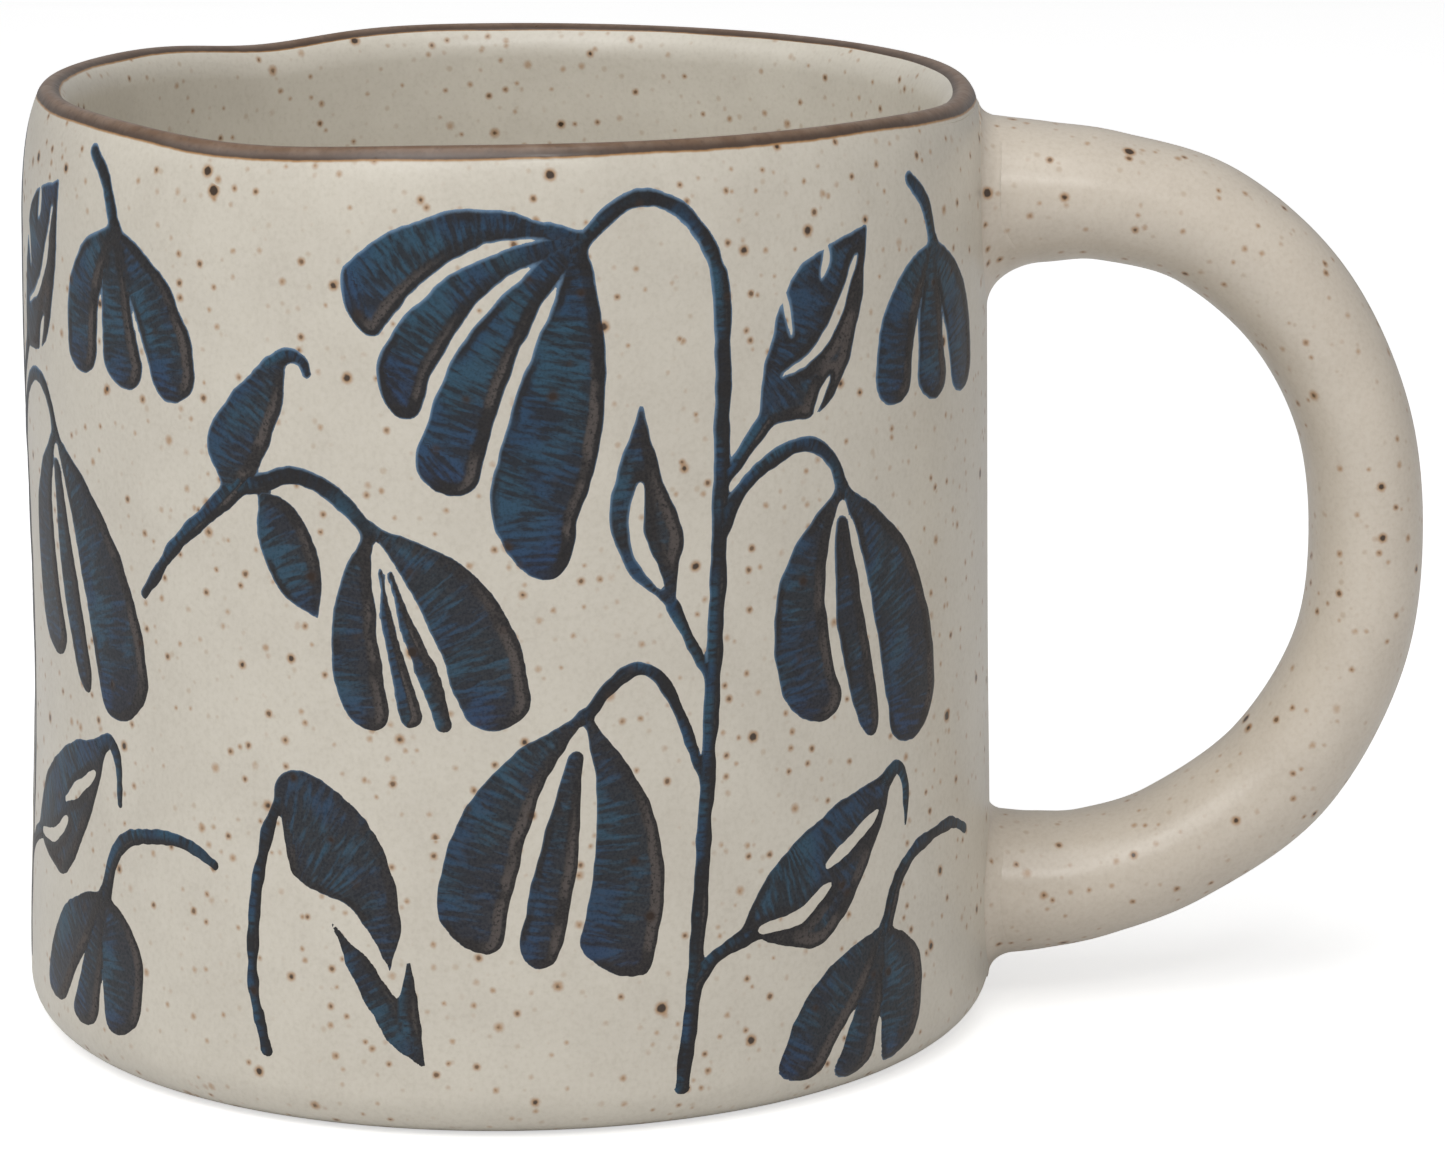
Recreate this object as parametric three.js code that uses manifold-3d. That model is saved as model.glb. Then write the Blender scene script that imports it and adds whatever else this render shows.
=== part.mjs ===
// Stoneware mug: a thrown cup with an iron-brown lip and a pulled loop handle.
// Millimetres, +Z up. The origin is on the cup's axis in the plane that it rests on,
// and the handle points along +X.
import * as THREE from 'three';
import { mergeVertices } from 'three/addons/utils/BufferGeometryUtils.js';
import Module from 'manifold-3d';

const wasm = await Module();
wasm.setup();

// Cup
const CUP_HEIGHT = 86.5;
const FOOT_RADIUS = 44.5; // outside of the wall just above the foot's rounded corner
const RIM_RADIUS = 43.7; // where the outside of the wall would end if it ran straight up
const FOOT_CORNER = 4.2;
const FLOOR_THICKNESS = 6;
const INNER_FOOT_RADIUS = 39.8; // inside of the wall where it meets the floor's corner
const INNER_CORNER = 8;

// Lip: the wall turns in to a crest and falls away inside, a quarter of an ellipse on each side
const CREST_RADIUS = 41.45;
const LIP_RISE = 12; // height over which the outside turns in
const INNER_LIP_RADIUS = 39.25; // inside of the wall just below the lip
const INNER_LIP_RISE = 3.2;

// Iron-brown band laid into the lip, flush with the glaze on both sides of it
const BAND_DROP = 1.1; // how far it comes down from the crest outside
const INNER_BAND_DROP = 0.55;
const BAND_COAT = 0.3;
const BAND_SPARE = 0.2; // extra depth that the lip cuts away again

// Finger marks in the wet rim: azimuth and spread in degrees, drop in millimetres
const RIM_DENTS = [
  { azimuth: 127, spread: 9, drop: 1.05 },
  { azimuth: 240, spread: 13, drop: 0.8 },
  { azimuth: 345, spread: 12, drop: 0.4 },
];
const DENT_START = 48; // the dents fade out down to this height

// Handle: its centreline starts at the upper root and comes back to the lower one
const UPPER_ROOT = new THREE.Vector3(45, 0, 75.4);
const LOWER_ROOT = new THREE.Vector3(45.6, 0, 11.2);
const ROOT_RUN = 3; // how far each root runs straight out from the wall
const LOOP_CENTRE = new THREE.Vector3(53, 0, 43.8);
const LOOP_REACH = 26.3; // from the loop's centre out to the centreline's far side
const LOOP_RISE = 32.1; // from the loop's centre up to the centreline
const LOOP_FALL = 31.7; // and down to it
const BEND_ANGLE = 80; // the loop spans this angle on both sides of level, in degrees
const HANDLE_DEPTH = 10.6; // thickness seen from the side, at the middle
const HANDLE_WIDTH = 14; // across, at the middle
const ROOT_DEPTH = 12.8;
const ROOT_WIDTH = 15.4;
const ROOT_TAPER = 0.35; // share of the handle's length over which a root thins

// Slip joints: clay slip between a root and the wall, smoothed into a collar
const COLLAR_FLARE = 2.2;
const COLLAR_LENGTH = 1;
const COLLAR_LIP = 0.25; // how far the collar's thin end stands off the handle
const SUNK = 4; // how far a collar reaches inwards before the wall cuts it
const HOLLOW = [240, 180]; // angles of the collar's hollow side, in degrees

// How finely round stretches are divided
const ROUND_SIDES = 64;
const ARC_STEPS = 6;
const BEND_POINTS = 9;
const HANDLE_STEPS = 40;
const HANDLE_SIDES = 20;
const COLLAR_SIDES = 32;

const { degToRad, radToDeg, euclideanModulo, smoothstep, clamp, lerp } = THREE.MathUtils;

// Points on an arc in a profile, from one angle to another in degrees
function arc(x, y, radius, from, to) {
  return ellipse(x, y, radius, radius, from, to);
}

function ellipse(x, y, reach, rise, from, to) {
  const [start, end] = [degToRad(from), degToRad(to)];
  return new THREE.EllipseCurve(x, y, reach, rise, start, end, from > to).getPoints(ARC_STEPS);
}

// A copy that keeps only positions, shares its corners and has no empty triangles
function closed(geometry) {
  const bare = geometry.clone();
  bare.deleteAttribute('normal');
  bare.deleteAttribute('uv');
  const merged = mergeVertices(bare, 1e-3);
  const corners = merged.index.array;
  const kept = [];
  for (let i = 0; i < corners.length; i += 3) {
    const [a, b, c] = corners.slice(i, i + 3);
    if (a !== b && b !== c && c !== a) kept.push(a, b, c);
  }
  merged.setIndex(kept);
  return merged;
}

// Moves every corner of a closed geometry by a rule
function reshape(geometry, move) {
  const position = geometry.attributes.position;
  const point = new THREE.Vector3();
  for (let i = 0; i < position.count; i++) {
    move(point.fromBufferAttribute(position, i));
    position.setXYZ(i, point.x, point.y, point.z);
  }
  return geometry;
}

function solid(geometry) {
  return new wasm.Manifold(
    new wasm.Mesh({
      numProp: 3,
      vertProperties: geometry.attributes.position.array,
      triVerts: new Uint32Array(geometry.index.array),
    }),
  );
}

function geometryOf(manifold) {
  const mesh = manifold.getMesh();
  const geometry = new THREE.BufferGeometry();
  geometry.setAttribute('position', new THREE.BufferAttribute(mesh.vertProperties, 3));
  geometry.setIndex(new THREE.BufferAttribute(mesh.triVerts, 1));
  geometry.computeVertexNormals();
  return geometry;
}

// Lets the rim dip where it was dented, and fades the dip out down the wall
function dent(point) {
  const azimuth = radToDeg(Math.atan2(point.y, point.x));
  const share = smoothstep(point.z, DENT_START, CUP_HEIGHT);
  for (const { azimuth: middle, spread, drop } of RIM_DENTS) {
    const away = euclideanModulo(azimuth - middle + 180, 360) - 180;
    point.z -= share * drop * Math.exp(-0.5 * (away / spread) ** 2);
  }
}

// Turns a profile round the cup's axis and dents the rim
function thrown(profile) {
  const geometry = new THREE.LatheGeometry(profile, ROUND_SIDES).rotateX(Math.PI / 2);
  return reshape(closed(geometry), dent);
}

// Outside and inside of the wall at a height
const outerWall = (z) => new THREE.Vector2(lerp(FOOT_RADIUS, RIM_RADIUS, z / CUP_HEIGHT), z);
const innerWall = (z) => new THREE.Vector2(lerp(INNER_FOOT_RADIUS, INNER_LIP_RADIUS, z / CUP_HEIGHT), z);

// The lip's curves run from 0 degrees outside, over the crest at 90, to 180 inside
const LIP_START = CUP_HEIGHT - LIP_RISE;
const LIP_REACH = outerWall(LIP_START).x - CREST_RADIUS;
const INNER_LIP_REACH = CREST_RADIUS - INNER_LIP_RADIUS;
const BAND_START = radToDeg(Math.asin(1 - BAND_DROP / LIP_RISE));
const BAND_END = 180 - radToDeg(Math.asin(1 - INNER_BAND_DROP / INNER_LIP_RISE));

function outerLip(from, to, depth = 0) {
  return ellipse(CREST_RADIUS, LIP_START, LIP_REACH - depth, LIP_RISE - depth, from, to);
}

function innerLip(from, to, depth = 0) {
  const [reach, rise] = [INNER_LIP_REACH - depth, INNER_LIP_RISE - depth];
  return ellipse(CREST_RADIUS, CUP_HEIGHT - INNER_LIP_RISE, reach, rise, from, to);
}

// Over the crest between the band's two edges, at a depth below the surface
function underBand(depth) {
  return [...outerLip(BAND_START, 90, depth), ...innerLip(90, BAND_END, depth).slice(1)];
}

function cupGeometry() {
  const middles = [DENT_START, (DENT_START + LIP_START) / 2];
  return thrown([
    new THREE.Vector2(0, 0),
    ...arc(FOOT_RADIUS - FOOT_CORNER, FOOT_CORNER, FOOT_CORNER, -90, 0),
    ...middles.map(outerWall),
    ...outerLip(0, BAND_START),
    ...underBand(BAND_COAT),
    ...innerLip(BAND_END, 180),
    ...middles.reverse().map(innerWall),
    ...arc(INNER_FOOT_RADIUS - INNER_CORNER, FLOOR_THICKNESS + INNER_CORNER, INNER_CORNER, 0, -90),
    new THREE.Vector2(0, FLOOR_THICKNESS),
  ]);
}

// The band is made a little deep, and the lip cuts it to fit
function bandGeometry(cup) {
  const outside = underBand(0);
  const inside = underBand(BAND_COAT + BAND_SPARE).reverse();
  const band = thrown([...outside, ...inside, outside[0]]);
  return geometryOf(solid(band).subtract(solid(cup)));
}

// Centreline of the handle: short straight roots joined by half an ellipse
function handlePath() {
  const bend = Array.from({ length: BEND_POINTS }, (_, i) => {
    const angle = degToRad(lerp(BEND_ANGLE, -BEND_ANGLE, i / (BEND_POINTS - 1)));
    const reach = LOOP_REACH * Math.cos(angle);
    const rise = (angle > 0 ? LOOP_RISE : LOOP_FALL) * Math.sin(angle);
    return new THREE.Vector3(LOOP_CENTRE.x + reach, 0, LOOP_CENTRE.z + rise);
  });
  const run = new THREE.Vector3(ROOT_RUN, 0, 0);
  const upperRun = UPPER_ROOT.clone().add(run);
  const lowerRun = LOWER_ROOT.clone().add(run);
  return new THREE.CatmullRomCurve3([UPPER_ROOT, upperRun, ...bend, lowerRun, LOWER_ROOT]);
}

// A capped cylinder bent along the centreline, with an oval section that grows at the roots
function handleGeometry() {
  const path = handlePath();
  const straight = new THREE.CylinderGeometry(1, 1, 1, HANDLE_SIDES, HANDLE_STEPS);
  return reshape(closed(straight), (point) => {
    const along = clamp(0.5 + point.y, 0, 1);
    const middle = path.getPointAt(along);
    const tangent = path.getTangentAt(along);
    const outwards = new THREE.Vector3(-tangent.z, 0, tangent.x);
    const rootShare = 1 - smoothstep(Math.min(along, 1 - along), 0, ROOT_TAPER);
    const halfDepth = lerp(HANDLE_DEPTH, ROOT_DEPTH, rootShare) / 2;
    const halfWidth = lerp(HANDLE_WIDTH, ROOT_WIDTH, rootShare) / 2;
    const across = point.z * halfWidth;
    point.copy(middle.addScaledVector(outwards, point.x * halfDepth));
    point.y = across;
  });
}

// Slip at one root: a flared collar, less the wall it sits on and the root it holds
function slipGeometry(root, wall, handle) {
  const thinEnd = ROOT_DEPTH / 2 + COLLAR_LIP;
  const hollow = arc(thinEnd + COLLAR_FLARE, COLLAR_LENGTH, COLLAR_FLARE, ...HOLLOW);
  const collar = new THREE.LatheGeometry(
    [
      new THREE.Vector2(0, -SUNK),
      new THREE.Vector2(hollow[0].x, -SUNK),
      ...hollow,
      new THREE.Vector2(0, COLLAR_LENGTH),
    ],
    COLLAR_SIDES,
  );
  collar.rotateZ(-Math.PI / 2).scale(1, ROOT_WIDTH / ROOT_DEPTH, 1);
  collar.translate(root.x, root.y, root.z);
  return geometryOf(solid(closed(collar)).subtract(solid(wall)).subtract(solid(handle)));
}

const GLAZE = { color: 0xc2bcb0, roughness: 0.42, metalness: 0 };
const IRON_OXIDE = { color: 0x886f5f, roughness: 0.5, metalness: 0 };
const SLIP = { color: 0xb9b1a3, roughness: 0.46, metalness: 0 };

const mug = new THREE.Group();

function addPart(name, geometry, finish) {
  geometry.computeVertexNormals();
  const mesh = new THREE.Mesh(geometry, new THREE.MeshStandardMaterial(finish));
  mesh.name = name;
  mug.add(mesh);
}

const cup = cupGeometry();
const handle = handleGeometry();
addPart('mug_body', cup, GLAZE);
addPart('rim_band', bandGeometry(cup), IRON_OXIDE);
addPart('handle', handle, GLAZE);
addPart('upper_slip_joint', slipGeometry(UPPER_ROOT, cup, handle), SLIP);
addPart('lower_slip_joint', slipGeometry(LOWER_ROOT, cup, handle), SLIP);

export default mug;
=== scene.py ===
import math

import bpy
import numpy as np
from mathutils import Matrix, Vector


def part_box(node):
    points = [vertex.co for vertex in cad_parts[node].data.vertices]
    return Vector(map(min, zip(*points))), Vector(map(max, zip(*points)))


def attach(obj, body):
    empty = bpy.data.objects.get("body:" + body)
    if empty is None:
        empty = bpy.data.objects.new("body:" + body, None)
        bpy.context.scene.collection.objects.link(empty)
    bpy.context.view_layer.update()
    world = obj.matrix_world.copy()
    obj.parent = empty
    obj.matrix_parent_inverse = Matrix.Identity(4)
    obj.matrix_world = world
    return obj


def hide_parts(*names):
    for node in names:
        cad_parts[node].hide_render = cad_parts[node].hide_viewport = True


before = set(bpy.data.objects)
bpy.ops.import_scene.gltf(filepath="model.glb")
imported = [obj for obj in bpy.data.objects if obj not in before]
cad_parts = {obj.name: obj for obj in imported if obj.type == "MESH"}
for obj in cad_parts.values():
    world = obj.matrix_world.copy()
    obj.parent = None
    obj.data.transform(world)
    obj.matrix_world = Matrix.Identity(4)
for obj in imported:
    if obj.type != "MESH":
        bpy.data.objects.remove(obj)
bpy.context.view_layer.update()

# A stoneware mug with blue bellflower sprays under a speckled glaze. Shapes are worked out in millimetres
# in the frame's own axes, and become metres when a mesh is made. On the wall, a place is (s, z): s runs
# along the wall from the front to the right, and z is the height.
MM = 0.001


def box_mm(node):
    low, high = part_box(node)
    return np.array(low) / MM, np.array(high) / MM


# ---- Sizes, from the frame ----

CUP_LOW, _ = box_mm("mug_body")
_, BAND_HIGH = box_mm("rim_band")
UPPER_LOW, UPPER_HIGH = box_mm("upper_slip_joint")
LOWER_LOW, LOWER_HIGH = box_mm("lower_slip_joint")

CUP_TOP = BAND_HIGH[2]
FOOT_RADIUS = -CUP_LOW[0]
RIM_RADIUS = FOOT_RADIUS - 0.8  # where the outside of the wall would end if it ran straight up
LIP_RISE = 12.0  # height over which the outside turns in to the crest
LIP_START = CUP_TOP - LIP_RISE
LIP_REACH = 2.36
CREST_RADIUS = BAND_HIGH[1] - 0.418 * LIP_REACH  # the band's lower edge lies this share out from the crest
INNER_LIP_RISE = 3.2
INNER_LIP_REACH = 2.2
UPPER_Z = (UPPER_LOW[2] + UPPER_HIGH[2]) / 2
LOWER_Z = (LOWER_LOW[2] + LOWER_HIGH[2]) / 2

# ---- Sizes of the finish, in millimetres ----

FOOT_CORNER = 4.2
FLOOR_TOP = 6.0
INNER_FOOT_RADIUS = 39.8
INNER_CORNER = 8.0
BAND_OUTSIDE = 1.50  # how far the brown reaches from the crest, measured over the lip
BAND_INSIDE = 1.36
BAND_MARGIN = 0.35  # the band's mesh runs on this far under the glaze colour
BAND_COAT = 0.05
WALL_RADIUS = 44.0  # the radius that s is measured at
AROUND = 288  # how many faces go round the cup

PIGMENT_GRID = 0.3
PIGMENT_MARGIN = 0.44  # the pigment's mesh reaches this far past its edge, coloured as the glaze
PIGMENT_RELIEF = 0.09
PIGMENT_SINK = 0.03
PIGMENT_DEPTH = 0.25  # how deep the back of the pigment's mesh lies in the wall

RIM_DENTS = ((127, 9, 1.05), (240, 13, 0.8), (348, 13, 0.6))  # azimuth and spread in degrees, and drop
DENT_START = 48.0


# ---- Small numeric helpers ----


def smooth(value, start, end):
    """0 before start, 1 after end, and an even curve between."""
    share = np.clip((value - start) / (end - start), 0, 1)
    return share * share * (3 - 2 * share)


def bump(value, middle, spread):
    """1 at the middle, fading evenly to 0 on both sides."""
    return np.exp(-0.5 * ((value - middle) / spread) ** 2)


def turn(angle, middle):
    """The angle from the middle, in radians, between minus and plus half a turn."""
    return (angle - middle + math.pi) % (2 * math.pi) - math.pi


def circle(count):
    """Evenly spaced angles once round, in radians."""
    return np.linspace(0, 2 * math.pi, count, endpoint=False)


def distances(line):
    """How far along a line each of its points lies."""
    return np.concatenate([[0], np.cumsum(np.linalg.norm(np.diff(line, axis=0), axis=1))])


def curve_through(points, per_span):
    """Points on a smooth curve that passes through a few given ones."""
    p = np.asarray(points, float)
    p = np.vstack([2 * p[0] - p[1], p, 2 * p[-1] - p[-2]])
    t = np.linspace(0, 1, per_span, endpoint=False)[:, None]
    spans = []
    for a, b, c, d in zip(p, p[1:], p[2:], p[3:]):
        spans.append(b + 0.5 * t * ((c - a) + t * ((2 * a - 5 * b + 4 * c - d) + t * (3 * (b - c) + d - a))))
    return np.vstack([*spans, p[-2:-1]])


def ripple(x, y, wavelength, seed, waves=7):
    """A soft random surface between about -1 and 1, made of crossing waves."""
    random = np.random.default_rng(seed)
    total = 0
    for _ in range(waves):
        heading = random.uniform(0, math.pi)
        pace = 2 * math.pi / (wavelength * random.uniform(0.7, 1.5))
        shift = random.uniform(0, 2 * math.pi)
        total = total + np.sin(pace * (x * math.cos(heading) + y * math.sin(heading)) + shift)
    return total / (waves / 2)


# ---- The cup's surfaces ----


def dent_drop(azimuth, z):
    """How far the wall is pressed down at this place by the dents in the rim."""
    drop = 0
    for degrees, spread, depth in RIM_DENTS:
        drop = drop + depth * bump(turn(azimuth, math.radians(degrees)), 0, math.radians(spread))
    return drop * smooth(z, DENT_START, CUP_TOP)


def around(radius, azimuth, z):
    """Points (x, y, z) at this radius and height, lowered where the rim is dented."""
    return np.stack([radius * np.cos(azimuth), radius * np.sin(azimuth), z - dent_drop(azimuth, z)], -1)


def hand_wave(azimuth, z):
    """How far the thrown wall strays from a true cone, outwards."""
    left = bump(turn(azimuth, math.pi), 0, 1.0)
    right = bump(turn(azimuth, 0), 0, 0.9)
    wave = left * (0.18 * bump(z, 66, 10) - 0.42 * bump(z, 34, 13) + 0.48 * bump(z, 7, 9))
    wave = wave + right * (0.35 * bump(z, 88, 6) + 0.3 * bump(z, 10, 13))
    wave = wave + 0.08 * np.sin(2 * azimuth + z / 23) * smooth(z, 4, 25)
    return wave


def outer_radius(azimuth, z):
    """Radius of the outside of the wall above its rounded foot corner."""
    cone = FOOT_RADIUS + (RIM_RADIUS - FOOT_RADIUS) * (z / CUP_TOP)
    climb = np.clip((z - LIP_START) / LIP_RISE, 0, 1)
    lip = CREST_RADIUS + LIP_REACH * np.sqrt(1 - climb**2)
    return np.where(z < LIP_START, cone, lip) + hand_wave(azimuth, z)


def wall_point(s, z, lift=0.0):
    """A place on the outside of the wall, as (x, y, z), lifted off the wall by lift."""
    azimuth = -math.pi / 2 + s / WALL_RADIUS
    corner = np.clip(FOOT_CORNER - z, 0, FOOT_CORNER)
    tuck = FOOT_CORNER - np.sqrt(FOOT_CORNER**2 - corner**2)
    return around(outer_radius(azimuth, z) - tuck + lift, azimuth, z)


def wall_x(y, z):
    """The x of the outside of the wall on the handle's side, at this y and z."""
    azimuth = np.arcsin(y / RIM_RADIUS)
    for _ in range(4):
        azimuth = np.arcsin(np.clip(y / outer_radius(azimuth, z), -1, 1))
    return outer_radius(azimuth, z) * np.cos(azimuth)


# ---- Meshes ----


def add_object(name, data):
    """A new object in the scene that shows this mesh, light or camera."""
    made = bpy.data.objects.new(name, data)
    bpy.context.scene.collection.objects.link(made)
    return made


def make_object(name, points, faces, materials, attributes=None, slots=None):
    """A smooth-shaded mesh object from points in millimetres."""
    mesh = bpy.data.meshes.new(name)
    mesh.from_pydata((np.asarray(points) * MM).tolist(), [], faces)
    for material in materials:
        mesh.materials.append(material)
    for label, values in (attributes or {}).items():
        mesh.attributes.new(label, "FLOAT", "POINT").data.foreach_set("value", np.asarray(values, np.float32))
    if slots is not None:
        mesh.polygons.foreach_set("material_index", np.asarray(slots, np.int32))
    mesh.polygons.foreach_set("use_smooth", [True] * len(mesh.polygons))
    mesh.update()
    mesh.validate()
    return add_object(name, mesh)


def ring_faces(rows, columns, close_rows=False):
    """Quads between rings of points that each run round, counted row by row."""
    faces = []
    for i in range(rows if close_rows else rows - 1):
        here, there = i * columns, ((i + 1) % rows) * columns
        for j in range(columns):
            k = (j + 1) % columns
            faces.append((here + j, here + k, there + k, there + j))
    return faces


def capped_rings(rings):
    """A closed skin over a stack of rings, as (points, faces), with a fan over each end."""
    rows, columns = len(rings), len(rings[0])
    points = np.vstack([*rings, [np.mean(rings[0], 0)], [np.mean(rings[-1], 0)]])
    faces = ring_faces(rows, columns)
    first, last = rows * columns, rows * columns + 1
    for j in range(columns):
        k = (j + 1) % columns
        faces.append((first, k, j))
        faces.append((last, (rows - 1) * columns + j, (rows - 1) * columns + k))
    return points, faces


# ---- Node materials ----

COAT_ROUGHNESS = 0.25


class Paint:
    """A node material with a Principled surface, built by short calls."""

    def __init__(self, name, preview):
        self.material = bpy.data.materials.new(name)
        self.material.use_nodes = True
        self.material.diffuse_color = (*preview, 1)
        self.tree = self.material.node_tree
        self.surface = self.tree.nodes["Principled BSDF"]
        place = self.node("TexCoord")
        self.place = self.scaled(place.outputs["Object"], 1 / MM)

    def put(self, socket, value):
        """Links a socket to another, or gives it a value."""
        if isinstance(value, bpy.types.NodeSocket):
            self.tree.links.new(value, socket)
        elif value is not None:
            if socket.type == "RGBA" and len(value) == 3:
                value = (*value, 1)
            socket.default_value = value

    def node(self, kind, **inputs):
        """A new node, whose kind is given without Blender's own prefix."""
        made = self.tree.nodes.new("ShaderNode" + kind)
        for label, value in inputs.items():
            self.put(made.inputs[label.replace("_", " ")], value)
        return made

    def math(self, operation, a, b=None, c=None):
        made = self.node("Math")
        made.operation = operation
        for socket, value in zip(made.inputs, (a, b, c)):
            self.put(socket, value)
        return made.outputs[0]

    def add(self, a, b):
        return self.math("ADD", a, b)

    def times(self, a, b):
        return self.math("MULTIPLY", a, b)

    def step(self, value, start, end):
        """0 before start and 1 after end, eased; start may lie above end."""
        made = self.node("MapRange")
        made.interpolation_type = "SMOOTHSTEP"
        for label, given in (("Value", value), ("From Min", start), ("From Max", end)):
            self.put(made.inputs[label], given)
        return made.outputs[0]

    def mix(self, share, a, b):
        """A colour between a and b."""
        made = self.node("Mix")
        made.data_type = "RGBA"
        self.put(made.inputs[0], share)
        self.put(made.inputs[6], a)
        self.put(made.inputs[7], b)
        return made.outputs[2]

    def cover(self, colour, mask, strength, tint):
        """The colour, tinted where the mask is 1."""
        return self.mix(self.times(mask, strength), colour, tint)

    def blend(self, share, a, b):
        """A plain number between a and b."""
        made = self.node("Mix")
        for socket, value in zip(made.inputs, (share, None, a, b)):
            self.put(socket, value)
        return made.outputs[0]

    def scaled(self, vector, scale):
        made = self.node("VectorMath")
        made.operation = "SCALE"
        self.put(made.inputs[0], vector)
        made.inputs["Scale"].default_value = scale
        return made.outputs[0]

    def noise(self, size, detail=2.0, roughness=0.5, vector=None, twist=0.0):
        """Noise between 0 and 1 whose lumps are about size millimetres across."""
        settings = {"Scale": 1 / size, "Detail": detail, "Roughness": roughness, "Distortion": twist}
        return self.node("TexNoise", Vector=vector or self.place, **settings).outputs["Fac"]

    def value_of(self, label):
        made = self.node("Attribute")
        made.attribute_name = label
        return made.outputs["Fac"]

    def bumps(self, height, distance_mm):
        made = self.node("Bump", Height=height, Distance=distance_mm * MM, Strength=1.0)
        return made.outputs["Normal"]

    def finish(self, colour, roughness, normal=None, coat=0.0):
        self.put(self.surface.inputs["Base Color"], colour)
        self.put(self.surface.inputs["Roughness"], roughness)
        if normal is not None:
            self.put(self.surface.inputs["Normal"], normal)
        self.surface.inputs["Coat Weight"].default_value = coat
        self.surface.inputs["Coat Roughness"].default_value = COAT_ROUGHNESS
        return self.material


GLAZE_LIGHT = (0.632, 0.588, 0.502)
GLAZE_DEEP = (0.588, 0.544, 0.463)
GRAIN_PALE = (0.78, 0.74, 0.67)
GRAIN_DARK = (0.44, 0.39, 0.32)
HANDLE_TINT = (1.03, 0.985, 0.965)  # the handle is coloured a little warmer than the cup
INSIDE_PAINTED_LIGHT = (1.08, 1.09, 1.10)  # and the inside is coloured paler than the outside: painted light that brightens the inside of the cup
SPECK_HALO = (0.370, 0.175, 0.048)
SPECK_CORE = (0.030, 0.018, 0.012)
SPECK_BROWN = (0.090, 0.048, 0.024)
FAINT_SPECK = (0.440, 0.310, 0.190)


def speck_layer(paint, cell, smallest, largest, seed, halo_width):
    """Masks for one size of iron speck: (core, halo). A cell holds one speck of a random size."""
    shake = paint.node("TexNoise", Vector=paint.place, Scale=2.6, Detail=1.0)
    nudge = paint.scaled(shake.outputs["Color"], 0.16)
    moved = paint.node("VectorMath")
    paint.put(moved.inputs[0], paint.place)
    paint.put(moved.inputs[1], nudge)
    shifted = paint.node("VectorMath")
    paint.put(shifted.inputs[0], moved.outputs[0])
    shifted.inputs[1].default_value = (seed * 13.7, seed * 5.1, seed * 9.3)
    cells = paint.node("TexVoronoi", Vector=shifted.outputs[0], Scale=1 / cell)
    distance = paint.times(cells.outputs["Distance"], cell)
    split = paint.node("SeparateColor", Color=cells.outputs["Color"])
    radius = paint.blend(paint.math("POWER", split.outputs[0], 1.6), smallest, largest)
    beyond = paint.math("SUBTRACT", distance, radius)
    core = paint.step(beyond, 0.05, -0.12)
    halo = paint.step(beyond, halo_width, -0.08)
    return core, halo


def large_specks(paint):
    return speck_layer(paint, 4.2, 0.20, 0.46, 2, 0.38)


def glaze_look(paint, tint=(1, 1, 1)):
    """(colour, roughness, height) of the speckled satin glaze."""
    cloud = paint.noise(9.0, 3.0, 0.6)
    grain = paint.noise(0.45, 2.0, 0.6)
    deep = [value * share for value, share in zip(GLAZE_DEEP, tint)]
    light = [value * share for value, share in zip(GLAZE_LIGHT, tint)]
    colour = paint.mix(paint.step(cloud, 0.3, 0.7), deep, light)
    colour = paint.cover(colour, paint.step(grain, 0.35, 0.75), 0.16, GRAIN_PALE)
    colour = paint.cover(colour, paint.step(grain, 0.50, 0.22), 0.16, GRAIN_DARK)
    _, faint = speck_layer(paint, 1.9, 0.04, 0.20, 3, 0.24)
    colour = paint.cover(colour, faint, 0.42, FAINT_SPECK)
    small_core, small_halo = speck_layer(paint, 1.8, 0.03, 0.25, 1, 0.32)
    colour = paint.cover(colour, small_halo, 0.75, SPECK_HALO)
    colour = paint.cover(colour, small_core, 0.80, SPECK_BROWN)
    large_core, large_halo = large_specks(paint)
    colour = paint.cover(colour, large_halo, 0.80, SPECK_HALO)
    colour = paint.cover(colour, large_core, 0.94, SPECK_CORE)
    roughness = paint.blend(paint.noise(3.0), 0.25, 0.38)
    peel = paint.add(paint.noise(1.4), paint.times(paint.noise(0.35, 1.0), 0.25))
    height = paint.math("SUBTRACT", peel, paint.times(large_core, 0.8))
    return colour, roughness, height


def glaze_paint(name, tint=(1, 1, 1)):
    paint = Paint(name, GLAZE_LIGHT)
    colour, roughness, height = glaze_look(paint, tint)
    return paint.finish(colour, roughness, paint.bumps(height, 0.03), coat=0.12)


def clay_paint():
    """The bare, fired clay under the foot."""
    paint = Paint("bare_clay", (0.42, 0.33, 0.25))
    mottle = paint.noise(4.0, 4.0, 0.65)
    grit = paint.noise(0.4, 2.0, 0.7)
    colour = paint.mix(mottle, (0.36, 0.27, 0.19), (0.50, 0.41, 0.31))
    _, grains = speck_layer(paint, 2.0, 0.1, 0.4, 5, 0.2)
    colour = paint.cover(colour, grains, 0.7, SPECK_CORE)
    height = paint.add(grit, paint.times(mottle, 0.5))
    return paint.finish(colour, paint.blend(grit, 0.75, 0.95), paint.bumps(height, 0.06))


BAND_BROWN = (0.172, 0.101, 0.060)
# greyer brown: partly the oxide's own tone, partly a painted sheen
BAND_GREY_AND_SHEEN = (0.238, 0.162, 0.114)
BAND_DARK = (0.048, 0.030, 0.022)
BAND_ORANGE = (0.420, 0.230, 0.095)


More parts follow.
